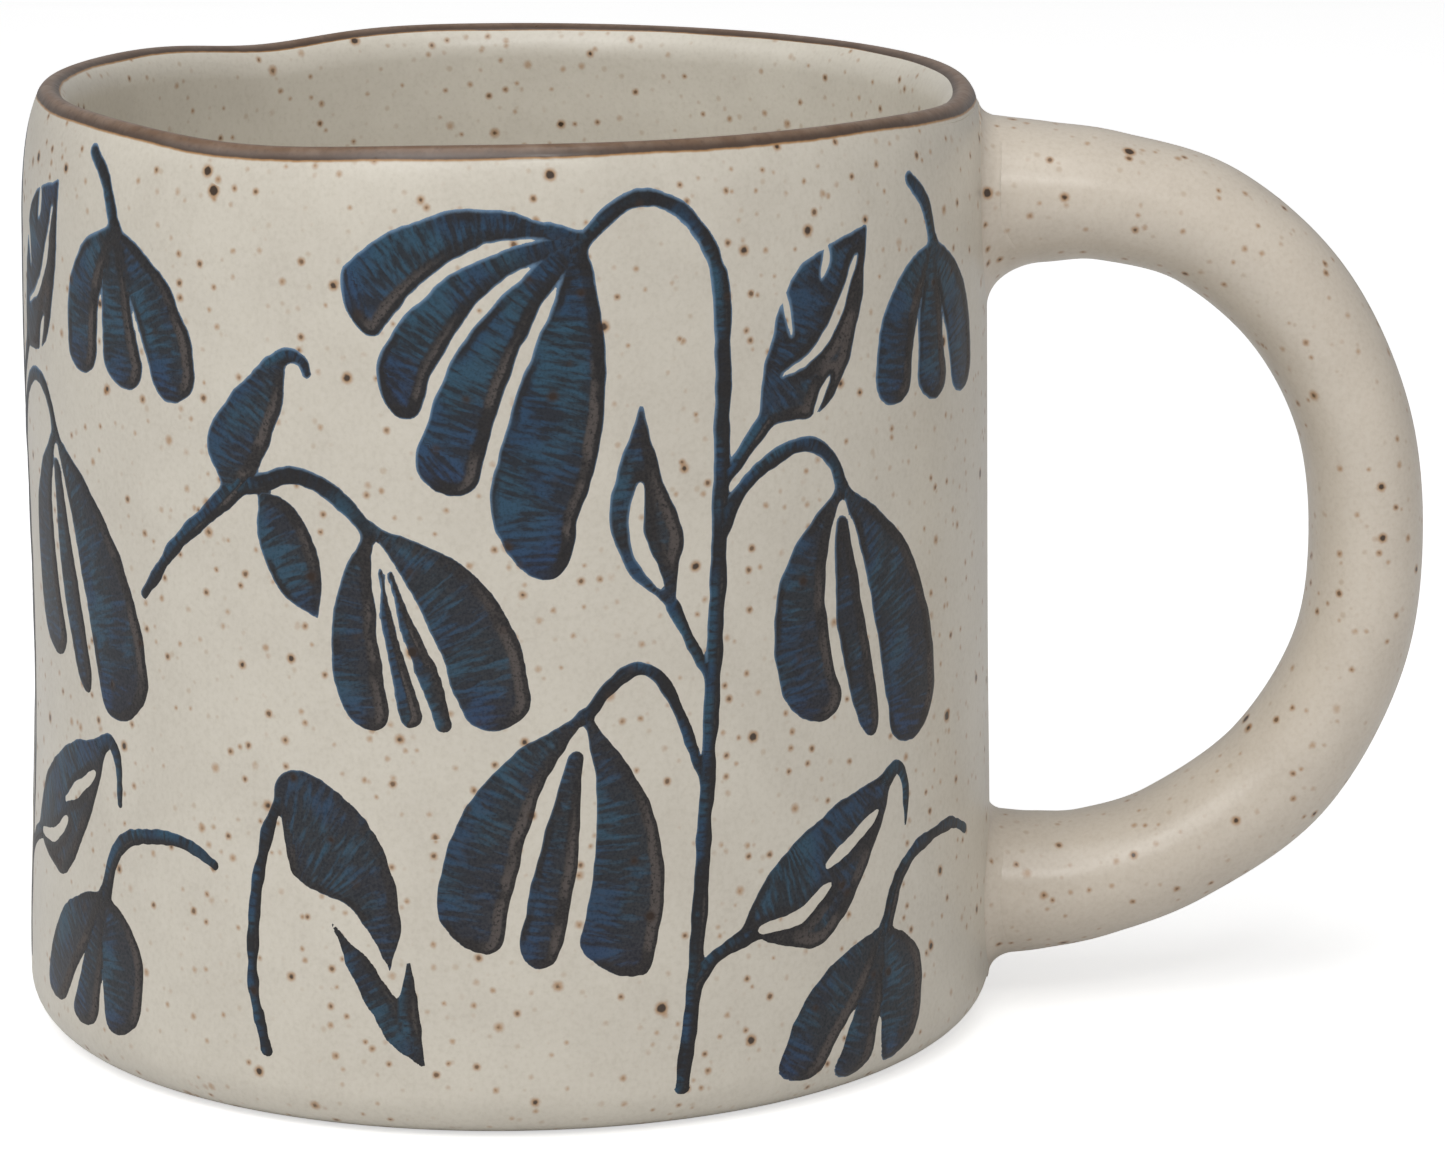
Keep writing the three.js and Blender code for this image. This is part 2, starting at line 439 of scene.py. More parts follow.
def band_paint():
    """Iron oxide on the lip: dark along its edge, with an orange line where it meets the glaze."""
    paint = Paint("iron_oxide_band", BAND_BROWN)
    glaze, glaze_roughness, height = glaze_look(paint)
    edge = paint.add(paint.value_of("edge"), paint.times(paint.noise(1.2), 0.16))
    # greyer patches over the brown: partly the oxide's own tone, partly a painted sheen
    brown = paint.mix(paint.step(paint.noise(2.6, 3.0, 0.6), 0.35, 0.7), BAND_BROWN, BAND_GREY_AND_SHEEN)
    brown = paint.cover(brown, paint.step(paint.noise(0.5), 0.5, 0.8), 0.4, BAND_DARK)
    brown = paint.cover(brown, paint.step(edge, 1.25, 0.35), 0.8, BAND_DARK)
    colour = paint.mix(paint.step(edge, 0.30, 0.14), brown, BAND_ORANGE)
    share = paint.step(edge, -0.02, 0.16)
    colour = paint.mix(share, glaze, colour)
    roughness = paint.blend(share, glaze_roughness, paint.blend(paint.noise(1.0), 0.24, 0.42))
    return paint.finish(colour, roughness, paint.bumps(height, 0.03), coat=0.15)


INK_BLACK = (0.0150, 0.0138, 0.0145)
INK_BLUE = (0.0190, 0.0560, 0.1120)
INK_TEAL = (0.0250, 0.0760, 0.1230)
INK_ROYAL = (0.0190, 0.0480, 0.1250)
INK_HALO = (0.1600, 0.2650, 0.3950)
INK_MATT_AND_SHEEN = (0.1000, 0.0840, 0.0770)
PALE_RIM = (0.600, 0.640, 0.650)  # the glaze is paler and cooler right beside the pigment
SPECK_OVER_INK = (0.045, 0.030, 0.024)
LINE_SPACING = 0.74  # between the fine lines that cross a petal


def ink_paint():
    """Cobalt under the glaze: a dark border, widest on the side painted in shade, and blue combed with dark
    dashes.

    Burn darkens and hazes a mark, most of all on the side painted in shade. The pale blue halo is painted
    wider on the lit side."""
    paint = Paint("cobalt_pigment", INK_BLUE)
    glaze, glaze_roughness, height = glaze_look(paint)
    fine = paint.noise(0.26, 2.0, 0.6)
    pools = paint.noise(3.4)
    wander = paint.times(paint.math("SUBTRACT", paint.noise(1.1, 2.0, 0.6), 0.5), 0.7)
    edge = paint.add(paint.value_of("edge"), paint.times(paint.math("SUBTRACT", fine, 0.5), 0.16))
    # painted shade: each mark is coloured darker towards one fixed side, its shaded side, the same on every
    # repeat
    shaded = paint.step(paint.value_of("side"), -0.35, 0.45)
    comb = paint.node("CombineXYZ")
    paint.put(comb.inputs[0], paint.times(paint.value_of("along"), 1.7))
    paint.put(comb.inputs[1], paint.times(paint.value_of("across"), 0.34))
    paint.put(comb.inputs[2], paint.times(paint.value_of("mark"), 7.3))
    dashes = paint.noise(1.0, 3.0, 0.62, vector=comb.outputs[0], twist=0.5)
    turns = paint.times(paint.value_of("along"), 2 * math.pi / LINE_SPACING)
    turns = paint.add(turns, paint.times(paint.noise(2.4), 11.0))
    lines = paint.math("MULTIPLY_ADD", paint.math("SINE", turns), 0.5, 0.5)
    burn = paint.value_of("burn")
    painted_shade_lean = paint.step(paint.value_of("side"), -0.7, 0.9)
    dash_share = paint.add(paint.times(dashes, 0.80), paint.times(lines, 0.10))
    dash_share = paint.add(dash_share, paint.times(paint.math("SUBTRACT", pools, 0.5), 0.45))
    dash_share = paint.add(dash_share, paint.times(burn, paint.blend(painted_shade_lean, 0.04, 0.26)))
    dash = paint.step(dash_share, 0.38, 0.62)

    blue = paint.mix(paint.step(paint.noise(5.0, 1.0), 0.4, 0.6), INK_BLUE, INK_TEAL)
    blue = paint.cover(blue, paint.step(paint.value_of("reach"), 0.70, 1.0), 0.7, INK_ROYAL)
    blue = paint.cover(blue, paint.step(fine, 0.55, 0.25), 0.45, INK_BLACK)
    ink = paint.cover(blue, dash, 0.84, INK_BLACK)

    lit_border = paint.times(paint.step(paint.noise(6.0, 1.0), 0.46, 0.60), 0.9)
    # the dark border is painted wider on the shaded side, as painted shade
    border_reach = paint.add(paint.blend(shaded, 0.75, 1.25), wander)
    border = paint.step(paint.math("SUBTRACT", edge, border_reach), 0.28, -0.22)
    border = paint.times(border, paint.blend(shaded, lit_border, 0.97))
    ink = paint.mix(border, ink, INK_BLACK)

    haze = paint.times(paint.step(fine, 0.25, 0.70), paint.blend(burn, 0.04, 0.36))
    haze = paint.times(haze, paint.blend(painted_shade_lean, 0.55, 1.0))
    ink = paint.mix(haze, ink, INK_MATT_AND_SHEEN)
    # a warm grey matt line inside the shaded edge: partly the thick pigment's own colour, partly a painted
    # sheen
    matt_and_sheen_line = paint.times(paint.step(edge, 0.38, 0.65), paint.step(edge, 1.50, 1.1))
    matt_and_sheen_line = paint.times(matt_and_sheen_line, paint.step(paint.value_of("side"), 0.20, 0.55))
    patches = paint.add(paint.noise(5.0), paint.times(burn, 0.12))
    matt_and_sheen_line = paint.times(matt_and_sheen_line, paint.step(patches, 0.48, 0.58))
    matt = paint.times(matt_and_sheen_line, paint.step(fine, 0.20, 0.58))
    ink = paint.cover(ink, matt, 0.85, INK_MATT_AND_SHEEN)

    # painted light: the pale blue halo is wider on the lit side of a mark
    halo_width = paint.blend(shaded, 0.30, 0.10)
    ink = paint.mix(paint.step(edge, -0.18, halo_width), INK_HALO, ink)
    share = paint.step(edge, -0.30, -0.12)
    beside = paint.cover(glaze, paint.step(edge, -0.40, -0.20), 0.75, PALE_RIM)
    colour = paint.mix(share, beside, ink)
    core, halo = large_specks(paint)
    colour = paint.cover(colour, paint.times(halo, share), 0.7, SPECK_OVER_INK)
    colour = paint.cover(colour, core, 0.85, SPECK_CORE)
    roughness = paint.blend(share, glaze_roughness, paint.blend(matt_and_sheen_line, 0.40, 0.62))
    relief = paint.add(height, paint.times(paint.times(dashes, share), 1.2))
    paint.put(paint.surface.inputs["Specular IOR Level"], paint.blend(share, 0.5, 0.28))
    return paint.finish(colour, roughness, paint.bumps(relief, 0.03))


FLOOR_GLOW = 0.60
FLOOR_RADII = (300.0, 1200.0, 6000.0)
FLOOR_SIDES = 96


def floor_paint():
    """A pale floor that glows a little in the camera's eye, so that it reads as white without more light."""
    paint = Paint("pale_floor", (0.8, 0.8, 0.8))
    shade = paint.mix(paint.noise(60.0), (0.79, 0.79, 0.79), (0.81, 0.81, 0.81))
    path = paint.node("LightPath")
    paint.surface.inputs["Emission Color"].default_value = (1, 1, 1, 1)
    glow = paint.times(path.outputs["Is Camera Ray"], FLOOR_GLOW)
    paint.put(paint.surface.inputs["Emission Strength"], glow)
    return paint.finish(shade, 0.9)


# ---- Cup ----


def arc(x, y, radius, start, end, count):
    """Points on an arc in a profile, with angles in degrees."""
    angle = np.radians(np.linspace(start, end, count))
    return np.stack([x + radius * np.cos(angle), y + radius * np.sin(angle)], 1)


def straight(start, end, count):
    """Points between two ends, which are left out."""
    share = np.linspace(0, 1, count + 2)[1:-1, None]
    return np.asarray(start) * (1 - share) + np.asarray(end) * share


def lip_section():
    """The lip's section as (radius, height), from the straight wall over the crest to the inside."""
    outside = np.radians(np.linspace(0, 90, 34))
    inside = np.radians(np.linspace(90, 180, 22))[1:]
    outer = np.stack([LIP_REACH * np.cos(outside), LIP_RISE * np.sin(outside) - LIP_RISE], 1)
    inner = np.stack([INNER_LIP_REACH * np.cos(inside), INNER_LIP_RISE * np.sin(inside) - INNER_LIP_RISE], 1)
    return np.vstack([outer, inner]) + (CREST_RADIUS, CUP_TOP)


def cup_profile():
    """The cup's section as (radius, height), from the middle of the foot to the middle of the floor."""
    foot = arc(FOOT_RADIUS - FOOT_CORNER, FOOT_CORNER, FOOT_CORNER, -90, 0, 14)
    lip = lip_section()
    corner = arc(INNER_FOOT_RADIUS - INNER_CORNER, FLOOR_TOP + INNER_CORNER, INNER_CORNER, 0, -90, 16)
    return np.vstack([
        straight((0, 0), foot[0], 8),
        foot,
        straight(foot[-1], lip[0], 90),
        lip,
        straight(lip[-1], corner[0], 55),
        corner,
        straight(corner[-1], (0, FLOOR_TOP), 16),
    ])


def throwing_rings(azimuth, z):
    """Faint spiral ridges that fingers leave inside the cup."""
    phase = 2 * math.pi * z / 6.5 + azimuth
    fade = smooth(z, FLOOR_TOP + 3, FLOOR_TOP + 14) * smooth(z, CUP_TOP - 4, CUP_TOP - 14)
    return 0.05 * np.sin(phase) * fade


def make_cup(glaze, clay, inside_glaze_painted_light):
    profile = cup_profile()
    top_row = profile[:, 1].argmax()
    azimuth = circle(AROUND)
    rings = []
    for row, (radius, z) in enumerate(profile):
        outside = row <= top_row
        share = smooth(radius, FOOT_RADIUS - 2 * FOOT_CORNER, FOOT_RADIUS - FOOT_CORNER) if outside else 0.8
        stray = hand_wave(azimuth, z) * share if z > 0 else 0 * azimuth
        if not outside:
            stray = stray * smooth(z, FLOOR_TOP + 2, FLOOR_TOP + 30) - throwing_rings(azimuth, z)
        rings.append(around(radius + stray, azimuth, z))
    points, faces = capped_rings(rings)
    slots = []
    for face in faces:
        under_foot = all(points[i][2] < 0.01 for i in face)
        inside = face[0] // AROUND > top_row or face[0] == len(points) - 1
        # slot 2, the inside, takes the paler copy of the glaze that is painted light
        slots.append(1 if under_foot else 2 if inside else 0)
    return make_object("thrown_cup", points, faces, [glaze, clay, inside_glaze_painted_light], slots=slots)


def make_band(paint):
    """The brown coat over the lip. Its mesh runs on past the brown on both sides and sinks into the glaze."""
    azimuth = circle(AROUND)
    section = curve_through(lip_section(), 6)
    way = distances(section)
    way = way - way[section[:, 1].argmax()]
    tangent = np.gradient(section, axis=0)
    tangent /= np.linalg.norm(tangent, axis=1)[:, None]
    wobble = 0.10 * np.sin(3 * azimuth + 1) + 0.05 * np.sin(11 * azimuth) + 0.03 * np.sin(23 * azimuth + 2)
    start = -BAND_OUTSIDE - wobble
    end = BAND_INSIDE + 0.8 * wobble[::-1]
    stray = hand_wave(azimuth, CUP_TOP)

    def ring(place, lift):
        radius = np.interp(place, way, section[:, 0]) + lift * np.interp(place, way, tangent[:, 1]) + stray
        z = np.interp(place, way, section[:, 1]) - lift * np.interp(place, way, tangent[:, 0])
        return around(radius, azimuth, z)

    rings, edges = [], []
    for share in np.linspace(0, 1, 27):
        place = (start - BAND_MARGIN) * (1 - share) + (end + BAND_MARGIN) * share
        edge = np.minimum(place - start, end - place)
        rings.append(ring(place, (BAND_COAT + 0.02) * smooth(edge, -BAND_MARGIN, 0.4) - 0.02))
        edges.append(edge)
    for place in (end * 0.6, start * 0.6):
        rings.append(ring(place, -0.5))
        edges.append(np.full(AROUND, -BAND_MARGIN))
    faces = ring_faces(len(rings), AROUND, close_rows=True)
    return make_object("lip_band", np.vstack(rings), faces, [paint], {"edge": np.concatenate(edges)})


# ---- Handle ----

# Stations along the handle, root to root: x, z, depth seen from the side, and width across
HANDLE_STATIONS = (
    (41.6, UPPER_Z + 0.75, 14.3, 16.0),
    (45.0, UPPER_Z + 0.75, 13.8, 16.0),
    (49.0, UPPER_Z + 0.8, 12.7, 15.6),
    (55.0, UPPER_Z + 0.4, 11.7, 15.0),
    (64.0, 73.1, 11.4, 14.4),
    (72.4, 65.8, 11.1, 14.0),
    (77.7, 55.4, 10.7, 14.0),
    (79.2, 43.6, 10.4, 14.0),
    (77.6, 32.4, 10.6, 14.0),
    (71.5, 21.7, 11.3, 14.0),
    (62.2, 14.8, 11.5, 14.4),
    (54.5, 11.9, 12.0, 15.0),
    (49.0, LOWER_Z - 0.1, 12.8, 15.6),
    (45.0, LOWER_Z - 0.2, 13.4, 16.0),
    (41.6, LOWER_Z - 0.2, 13.4, 16.0),
)
HANDLE_SIDES = 56
HANDLE_SPAN = 14  # rings between two stations
ROOT_X = 44.5  # where the roots are measured


def oval_ring(centre, outwards, depth, width):
    """An oval ring round a point of the handle's line."""
    angle = circle(HANDLE_SIDES)
    out = np.cos(angle)[:, None] * outwards * depth / 2
    return centre + out + np.sin(angle)[:, None] * np.array([0, width / 2, 0])


def make_handle(glaze):
    line = curve_through(HANDLE_STATIONS, HANDLE_SPAN)
    along = np.gradient(line[:, :2], axis=0)
    along /= np.linalg.norm(along, axis=1)[:, None]
    rings = []
    for (x, z, depth, width), (run, climb), travel in zip(line, along, distances(line[:, :2])):
        press = 0.12 * math.sin(travel / 9.0) + 0.08 * math.sin(travel / 4.3 + 1)
        centre = np.array([x, 0.15 * math.sin(travel / 17), z])
        rings.append(oval_ring(centre, np.array([-climb, 0, run]), depth + press, width - press))
    points, faces = capped_rings(rings[::-1])
    return make_object("loop_handle", points, faces, [glaze])


def root_section(x, lower):
    """Depth centre, depth and width of the handle near a root, at this x."""
    stations = np.array(HANDLE_STATIONS[-5:] if lower else HANDLE_STATIONS[:5])
    stations = stations[stations[:, 0].argsort()]
    dense = curve_through(stations, HANDLE_SPAN)
    return [np.interp(x, dense[:, 0], dense[:, k]) for k in (1, 2, 3)]


SIDE_FLARE = 1.0  # how far the slip climbs the wall beside a root
COLLAR_SIDES = 96
COLLAR_SKIRT = 0.3  # the collar's skin runs on this far past its edges
COLLAR_SINK = 0.12  # and lies this deep there


def make_collar(name, lower, flare_above, flare_below, reach, glaze):
    """Slip smoothed from the wall onto a root. Its two edges sink into the wall and the handle.

    The flares are how far it climbs the wall; along the handle it runs reach times as far."""
    angle = circle(COLLAR_SIDES)
    up = np.sin(angle)
    flare = SIDE_FLARE + (np.where(up > 0, flare_above, flare_below) - SIDE_FLARE) * up**2

    def handle_ring(x, sink=0.0):
        middle, depth, width = root_section(x, lower)
        y = (width / 2 - sink) * np.cos(angle)
        z = middle + (depth / 2 - sink) * np.sin(angle)
        return np.stack([x + 0 * y, y, z], 1)

    def wall_ring(spread, sink):
        ring = corner + outwards * (flare + spread)[:, None]
        ring[:, 0] = wall_x(ring[:, 1], ring[:, 2]) - sink
        return ring

    corner = handle_ring(np.full(COLLAR_SIDES, ROOT_X))
    corner[:, 0] = wall_x(corner[:, 1], corner[:, 2])
    outwards = np.stack([0 * angle, corner[:, 1], corner[:, 2] - root_section(ROOT_X, lower)[0]], 1)
    outwards /= np.linalg.norm(outwards, axis=1)[:, None]
    end_x = corner[:, 0] + flare * reach
    on_wall = wall_ring(0, 0.01)
    near_handle = handle_ring(corner[:, 0] + flare * reach * 0.35)
    on_handle = handle_ring(end_x, sink=0.01)
    rings = [wall_ring(-0.2, 1.2), wall_ring(COLLAR_SKIRT, COLLAR_SINK)]
    for t in np.linspace(0, 1, 15):
        near_wall = on_wall * 0.45 + corner * 0.55
        start, rise = (1 - t) ** 3 * on_wall, 3 * t * (1 - t) ** 2 * near_wall
        rings.append(start + rise + 3 * t**2 * (1 - t) * near_handle + t**3 * on_handle)
    rings += [handle_ring(end_x + COLLAR_SKIRT, COLLAR_SINK), handle_ring(end_x - COLLAR_SKIRT, 2.0)]
    points, faces = capped_rings(rings)
    return make_object(name, points, faces, [glaze])


# ---- Brush marks on the wall ----
# A mark is a dictionary: its axis, its outline or its radii, its half width, how far the firing has
# burnt it from blue to black, and whether it leaves the glaze bare. Places are (s, z); those inside a
# bell are measured from the joint that it hangs from.

STROKE_BURN, LEAF_BURN, BELL_BURN = 0.25, 0.7, 0.9
STROKE_SPAN = 10  # points between two places of a brush line


def bow(start, middle, end, count=40):
    """A curve from start to end that passes through the middle point."""
    start, middle, end = (np.asarray(p, float) for p in (start, middle, end))
    pull = 2 * middle - (start + end) / 2
    t = np.linspace(0, 1, count)[:, None]
    return (1 - t) ** 2 * start + 2 * t * (1 - t) * pull + t**2 * end


def rounded(outline, size, step=0.25):
    """A closed outline, evenly divided, with its corners eased over about this size."""
    closed = np.vstack([outline, outline[:1]])
    way = distances(closed)
    even = np.linspace(0, way[-1], int(way[-1] / step), endpoint=False)
    line = np.stack([np.interp(even, way, closed[:, k]) for k in (0, 1)], 1)
    reach = max(1, round(size / step / 2))
    for _ in range(2):
        line = sum(np.roll(line, shift, 0) for shift in range(-reach, reach + 1)) / (2 * reach + 1)
    return line


def two_sided(one, other, end, corner):
    """A mark between two edges that start together, closed by the line at its end."""
    axis = (one + other) / 2
    half = np.linalg.norm(one - other, axis=1).max() / 2
    if len(end):
        axis = np.vstack([axis, end[len(end) // 2 : len(end) // 2 + 1]])
    outline = rounded(np.vstack([one, end, other[::-1]]), corner)
    return {"axis": axis, "outline": outline, "half": half}


def arch(start, crown, end):
    """Half an oval from start over the crown to end, without its two ends."""
    middle, half = (start + end) / 2, (end - start) / 2
    angle = np.linspace(0, math.pi, 21)[1:-1, None]
    return middle - half * np.cos(angle) + (crown - middle) * np.sin(angle)


GAP_GROWTH = 7.0  # the length over which a gap between petals reaches its full width
PETAL_OVERLAP = 0.25  # how far the petals overlap before the gap between them opens, without a throat
THINNEST_PETAL = 0.6


def bell(joint, edges, tips, gap=1.25, opens=1.0, throat=0.0, burn=BELL_BURN):
    """A hanging flower, whose petals fan out from its joint and are parted by narrow gaps.

    An edge is (s, z, sway): where it ends, measured from the joint, and how far it bows out on its way,
    to the left if sway is positive. A tip is the lowest place of the petal between two edges. The gaps
    open at one distance from the joint, and the inner petals start at another, which is the throat."""
    joint = np.asarray(joint, float)
    lines = []
    for s, z, sway in edges:
        aside = np.array([z, -s]) / math.hypot(s, z)
        middle = joint + np.array([s, z]) / 2 + aside * sway
        lines.append(bow(joint, middle, joint + (s, z)))
    marks = []
    for i, tip in enumerate(tips):
        inner = 0 < i < len(tips) - 1
        one, other = lines[i], lines[i + 1]
        across = other - one
        width = np.linalg.norm(across, axis=1)
        across = across / np.maximum(width, 1e-6)[:, None]
        far = np.linalg.norm(one - joint, axis=1)
        opened = smooth(far, opens, opens + GAP_GROWTH)
        opening = gap / 2 * opened - (0 if throat else PETAL_OVERLAP) * (1 - opened)
        before = opening * (i > 0)
        after = opening * (i < len(tips) - 1)
        start = ((width - before - after > THINNEST_PETAL) & (far >= throat * inner)).argmax()
        one = (one + across * before[:, None])[start:]
        other = (other - across * after[:, None])[start:]
        petal = two_sided(one, other, arch(one[-1], joint + tip, other[-1]), 0.8)
        marks.append(petal)
        if not (inner and throat):
            neck = petal["axis"][2]
            marks.append(stroke((joint, (joint + neck) / 2, neck), 0.6, 0.5))
    for mark in marks:
        mark["burn"] = burn
    return marks


def blade(base, one_side, tip, other_side, corner=0.5, burn=LEAF_BURN):
    """A leaf with a point at both ends. Its outline runs up one side to the tip and down the other."""
    one = curve_through([base, *one_side, tip], 16)
    other = curve_through([base, *other_side[::-1], tip], 16)
    share = np.linspace(0, 1, 60)
    one, other = (
        np.stack([np.interp(share, np.linspace(0, 1, len(side)), side[:, k]) for k in (0, 1)], 1)
        for side in (one, other)
    )
    leaf = two_sided(one, other, np.empty((0, 2)), corner)
    leaf["burn"] = burn
    return leaf


def stroke(points, start, end):
    """A brush line of a given radius at its start and end."""
    axis = curve_through(points, STROKE_SPAN)
    return {"axis": axis, "radii": (start, end), "half": start, "burn": STROKE_BURN}


def slit(points, radius):
    """A line where the pigment was scratched away, narrow at both ends."""
    return stroke(points, radius, radius) | {"bare": True}


def stem_spray():
    """The tall stem with three bells and three leaves."""
    tall = ((16.3, 4.2), (17.2, 11), (18.1, 20), (19, 32), (19.8, 45), (20.4, 60), (20.6, 70), (20.2, 75.2))
    top_arch = ((18.3, 79.2), (15.4, 81.6), (12.6, 81.9), (10.3, 80.7), (8.1, 78.5))
    right_start = ((20.5, 53.2), (21.6, 55.6), (24.2, 58.1), (27.6, 59.6))
    right_arch = (*right_start, (30.3, 59.2), (32.2, 57.4), (33, 55.2))
    left_arch = ((18.7, 31.2), (17.4, 34.8), (16, 38.4), (14.3, 41), (12.4, 41.6), (10.1, 40.1), (8.1, 37.6))
    small_leaf_back = ((14.6, 58.8), (16.8, 53.2), (16.2, 49.6))
    low_leaf_under = ((37.3, 22.8), (31.4, 15.2), (26, 15.5))
    marks = [
        stroke(tall, 0.85, 0.7),
        stroke((*tall[-2:], *top_arch), 0.64, 0.66),
        stroke(right_arch, 0.72, 0.62),
        stroke(left_arch, 0.5, 0.68),
        stroke(((19.4, 39.8), (17.7, 43.1), (15.9, 46.8)), 0.52, 0.62),
        stroke(((20.9, 57.6), (22.6, 59.8), (24.8, 62.4)), 0.5, 0.85),
        stroke(((17.4, 13.2), (19.7, 15.6), (23.5, 17.3)), 0.68, 0.95),
        blade((16, 46.4), ((11.5, 50.6), (10.4, 56.4)), (13.1, 64.9), small_leaf_back, 0.8),
        blade((23.9, 61.6), ((24.9, 68), (28.3, 75)), (36.1, 78), ((35, 70.2), (31.4, 62.9))),
        blade((21.8, 17.2), ((25.4, 22.9), (32.6, 27.4)), (40, 29.2), low_leaf_under),
        stroke(((38.4, 28), (40.3, 29), (41.5, 27.3), (41.5, 23.6)), 1.0, 0.35),
    ]
    left_petals = ((-19.4, -1.2, 3.2), (-17.2, -8.7, 3.1), (-13.6, -15.5, 2.7))
    marks += bell(
        (8, 78.7),
        (*left_petals, (-8.6, -21.4, 0.9), (-0.6, -24.2, -2.3)),
        ((-20.2, -5.1), (-16.9, -13.4), (-13.3, -20.6), (-4, -29)),
        burn=0.35,
    )
    marks.append(stroke(((1.6, 79.9), (4.8, 79.7), (8, 78.6)), 0.45, 0.6))
    marks += bell(
        (33, 55.4),
        ((-6.9, -16.4, 3.4), (0.6, -18.4, 1.7), (5.3, -21, -0.4), (13.7, -19.6, -3.6)),
        ((-3.4, -20.5), (3.3, -22.8), (9.6, -24.4)),
        throat=2.4,
        burn=0.85,
    )
    marks += bell(
        (8, 37.8),
        ((-12.9, -16.6, 3.4), (-6.4, -20, 0.9), (-1.3, -20.2, -0.9), (5.9, -21.9, -3.6)),
        ((-10, -20.6), (-3.9, -22.4), (3.2, -23.4)),
        throat=3.2,
    )
    marks += [
        slit(((13, 57.6), (12.6, 54.2), (13.3, 51.4), (14.9, 48.6)), 0.72),
        slit(((34.7, 75.4), (32.6, 70.8), (30, 67.6), (26.4, 65.9)), 0.52),
        slit(((26.4, 73.4), (26.9, 71.6), (27.4, 69.3)), 0.42),
        slit(((31.3, 77), (31.2, 75.4), (30.7, 73.9)), 0.42),
        slit(((29.8, 62), (30.5, 63.6), (31.5, 65.3)), 0.42),
        slit(((37.4, 25.6), (34.6, 23.8), (31.3, 21.9)), 0.52),
        slit(((31.4, 20.1), (28, 17.9), (24, 17.3)), 0.5),
    ]
    return marks


def bud_sprig():
    """The slanting twig with a bud, a leaf and one bell."""
    twig = ((-23.4, 56.4), (-20.5, 57.2), (-17.4, 58.2), (-14.4, 57.4), (-12, 55.6), (-10.2, 53.6))
    marks = [
        stroke(((-33.8, 45.8), (-29.6, 50.8), (-25.8, 54), (-22.6, 57)), 0.5, 1.0),
        stroke(twig, 0.85, 0.7),
        blade((-23.8, 55.8), ((-25.7, 61), (-21.8, 66.3)), (-17.8, 69.5), ((-18.2, 64.2), (-20.7, 58.4))),
        stroke(((-19.2, 67.9), (-17.5, 68.8), (-16.2, 68.4), (-15.7, 67.3)), 0.75, 0.35),
        blade((-20.7, 56.6), ((-20.6, 52.2), (-18.6, 47.9)), (-14.9, 45.6), ((-14.8, 51), (-17.4, 55.7))),
    ]
    joint = np.array([-10.2, 54])
    marks += bell(joint, ((-3.2, -14.5, 1.8), (1.5, -16, 0.35)), ((-0.7, -17.6),))
    marks += bell(joint, ((7.5, -15.6, -0.85), (13.7, -14.3, -3.8)), ((11, -17.4),))
    thin_petals = [
        stroke(joint + ((0.8, -3.7), (1.5, -8.7), (2.3, -11.9), (3.4, -16.3)), 0.25, 1.05),
        stroke(joint + ((1.65, -3.9), (2.1, -5.3), (3.2, -8.7), (4.6, -11.9)), 0.22, 0.95),
        stroke(joint + ((4.6, -11.9), (5.7, -15), (6.1, -16.8)), 0.95, 0.8),
    ]
    for petal in thin_petals:
        petal["burn"] = BELL_BURN
    return marks + thin_petals


def folded_leaf():
    """A leaf bent over a thin stalk, and the notched one below it."""
    horn = (-5.5, 6)
    crown = ((-19.5, 31.3), (-15.8, 32.2), (-10.2, 27.6), (-7.8, 20.5))
    return [
        stroke(((-20.3, 7.1), (-21.6, 13), (-21.4, 20), (-20.3, 26), (-18.9, 29.4)), 0.74, 0.66),
        blade((-18.8, 27), crown, (-8.7, 14.6), ((-12.1, 20.2), (-17.4, 22.6)), burn=1.0),
        blade((-14.3, 19.5), ((-10.3, 15.8), (-7, 10.5)), horn, ((-9.4, 9.3), (-12.7, 15.2)), 0.3),
        blade((-7.2, 17.4), ((-8.1, 13), (-8.6, 10)), horn, ((-6.2, 12),), 0.3),
    ]


def upper_bell():
    stalk = ((42.6, 81.3), (44.9, 79), (46.3, 75.2))
    edges = ((-8.9, -11, 2.8), (-3.3, -11.6, 0.7), (3.2, -12, 0), (9.1, -11.8, -2.7))
    tips = ((-6.7, -13.8), (0.1, -14.2), (6.3, -14.5))
    return [stroke(stalk, 0.62, 0.72)] + bell((46.3, 75.4), edges, tips, gap=1.0, opens=3.5, burn=0.6)


def lower_bell():
    stalk = ((53.3, 20.3), (50, 21.7), (46, 21.6), (42.4, 20.6), (40, 18.3), (38.6, 14.8))
    edges = ((-12.6, -10.1, 2.6), (-7, -11.4, -0.3), (-1, -11.6, -0.1), (5.4, -9.2, -2.7))
    tips = ((-11.2, -12.3), (-4.8, -13.2), (2.2, -12.6))
    return [stroke(stalk, 0.6, 0.95)] + bell((38.3, 15.1), edges, tips, gap=1.0, opens=6.5, burn=1.1)


def nearest_on(line, points):
    """For each point: gap to the line, distance along it, and the offset from it as a vector."""
    step = np.diff(line, axis=0)
    length = np.linalg.norm(step, axis=1)
    before = np.concatenate([[0], np.cumsum(length)[:-1]])
    away = points[:, None] - line[:-1]
    t = np.clip((away * step).sum(2) / length**2, 0, 1)
    offset = away - t[..., None] * step
    gap = np.linalg.norm(offset, axis=2)
    best = (np.arange(len(points)), gap.argmin(1))
    return gap[best], (before + t * length)[best], offset[best], length.sum(), step[best[1]]


